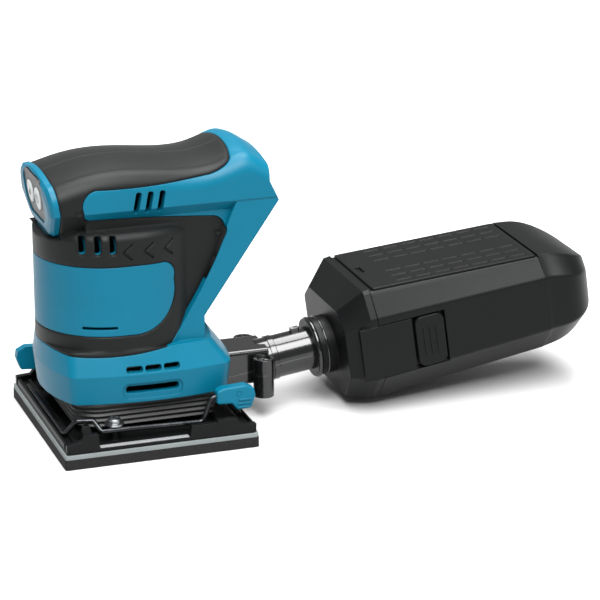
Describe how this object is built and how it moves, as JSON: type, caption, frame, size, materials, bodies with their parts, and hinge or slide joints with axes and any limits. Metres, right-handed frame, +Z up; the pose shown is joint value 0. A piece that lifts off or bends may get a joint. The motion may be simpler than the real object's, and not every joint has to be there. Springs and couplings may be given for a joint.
{
  "type": "orbital sander",
  "caption": "Cordless palm-grip finishing sander with a flat rectangular orbiting pad, wire paper clamps, a nose switch panel and a pull-off dust box on a rear nozzle.",
  "frame": {"origin": "centre of the sanding face, at the middle of the rectangular pad", "axes": "+X from the nose panel towards the dust box, +Z up from the pad to the handle, +Y to the tool's right side"},
  "size_m": [0.3023, 0.112, 0.1501],
  "materials": {
    "teal_plastic": "fine satin moulding",
    "grip_elastomer": "soft matt overmould",
    "black_plastic": "fine grain",
    "panel_black": "smooth",
    "white_plastic": "smooth",
    "circuit_board": "satin",
    "steel": "plain zinc plated",
    "iron": "dull",
    "copper": "lacquered",
    "carbon": "dull",
    "cast_aluminium": "as cast",
    "grey_plate": "matt light grey",
    "pad_foam": "fine closed foam",
    "black_rubber": "matt",
    "filter_fabric": "non-woven"
  },
  "bodies": {
    "housing": {"left_housing": "teal_plastic", "right_housing": "teal_plastic", "left_grip": "grip_elastomer", "right_grip": "grip_elastomer", "front_cap": "teal_plastic", "switch_membrane": "panel_black", "switch_board": "circuit_board", "controller": "black_plastic", "motor_yoke": "steel", "front_magnet": "iron", "rear_magnet": "iron", "motor_bracket": "cast_aluminium", "brush_ring": "black_plastic", "left_carbon_brush": "carbon", "right_carbon_brush": "carbon", "lower_motor_bearing": "steel", "upper_motor_bearing": "steel", "dust_boot": "black_rubber", "front_left_leg": "black_rubber", "front_right_leg": "black_rubber", "rear_left_leg": "black_rubber", "rear_right_leg": "black_rubber", "leg_frame": "black_plastic", "nozzle_upper": "black_plastic", "nozzle_lower": "black_plastic", "left_nozzle_screw": "steel", "right_nozzle_screw": "steel", "terminal_block": "black_plastic", "left_terminal": "copper", "right_terminal": "copper", "front_housing_screw": "steel", "rear_housing_screw": "steel"},
    "power_button": {"power_button": "white_plastic"},
    "speed_button": {"speed_button": "white_plastic"},
    "rotor": {"rotor_shaft": "steel", "armature_core": "iron", "lower_windings": "copper", "upper_windings": "copper", "commutator": "copper", "balance_weight": "iron", "fan": "black_plastic"},
    "pad": {"base": "black_plastic", "base_bearing": "steel", "bearing_retainer": "steel", "pad_plate": "grey_plate", "foam_pad": "pad_foam", "front_clamp_screw": "steel", "rear_clamp_screw": "steel"},
    "front_clamp": {"front_clamp_wire": "steel", "front_clamp_lever": "teal_plastic"},
    "rear_clamp": {"rear_clamp_wire": "steel", "rear_clamp_lever": "teal_plastic"},
    "dust_box": {"dust_case_front": "black_plastic"},
    "dust_case": {"dust_case_rear": "black_plastic", "dust_case_end": "black_plastic", "dust_case_cover": "black_plastic", "filter_frame": "black_plastic", "dust_filter": "filter_fabric"},
    "left_latch": {"left_latch_button": "black_plastic"},
    "right_latch": {"right_latch_button": "black_plastic"}
  },
  "joints": [
    {"name": "rotor_spin", "type": "hinge", "parent": "housing", "child": "rotor", "pos_m": [-0.00075, 0, 0.06], "axis": [0, 0, 1], "continuous": true},
    {"name": "pad_orbit", "type": "hinge", "parent": "rotor", "child": "pad", "pos_m": [0, 0, 0.0135], "axis": [0, 0, 1], "continuous": true},
    {"name": "front_clamp_lift", "type": "hinge", "parent": "pad", "child": "front_clamp", "pos_m": [-0.022, 0, 0.0151], "axis": [0, 1, 0], "range_deg": [0, 3]},
    {"name": "rear_clamp_lift", "type": "hinge", "parent": "pad", "child": "rear_clamp", "pos_m": [0.022, 0, 0.0151], "axis": [0, -1, 0], "range_deg": [0, 3]},
    {"name": "power_button_press", "type": "slide", "parent": "housing", "child": "power_button", "axis": [0.9903, 0, 0.1392], "range_m": [0, 0.0005], "stiffness_N_per_m": 1500},
    {"name": "speed_button_press", "type": "slide", "parent": "housing", "child": "speed_button", "axis": [0.9903, 0, 0.1392], "range_m": [0, 0.0005], "stiffness_N_per_m": 1500},
    {"name": "dust_box_pull", "type": "slide", "parent": "housing", "child": "dust_box", "axis": [0.9903, 0, 0.1392], "range_m": [0, 0.045]},
    {"name": "dust_case_pull", "type": "slide", "parent": "dust_box", "child": "dust_case", "axis": [0.9903, 0, 0.1392], "range_m": [0, 0.06]},
    {"name": "left_latch_press", "type": "slide", "parent": "dust_box", "child": "left_latch", "axis": [0, 1, 0], "range_m": [0, 0.0014], "stiffness_N_per_m": 1500},
    {"name": "right_latch_press", "type": "slide", "parent": "dust_box", "child": "right_latch", "axis": [0, -1, 0], "range_m": [0, 0.0014], "stiffness_N_per_m": 1500}
  ],
  "couplings": [
    {"joint": "pad_orbit", "follows": "rotor_spin", "ratio": -1}
  ]
}
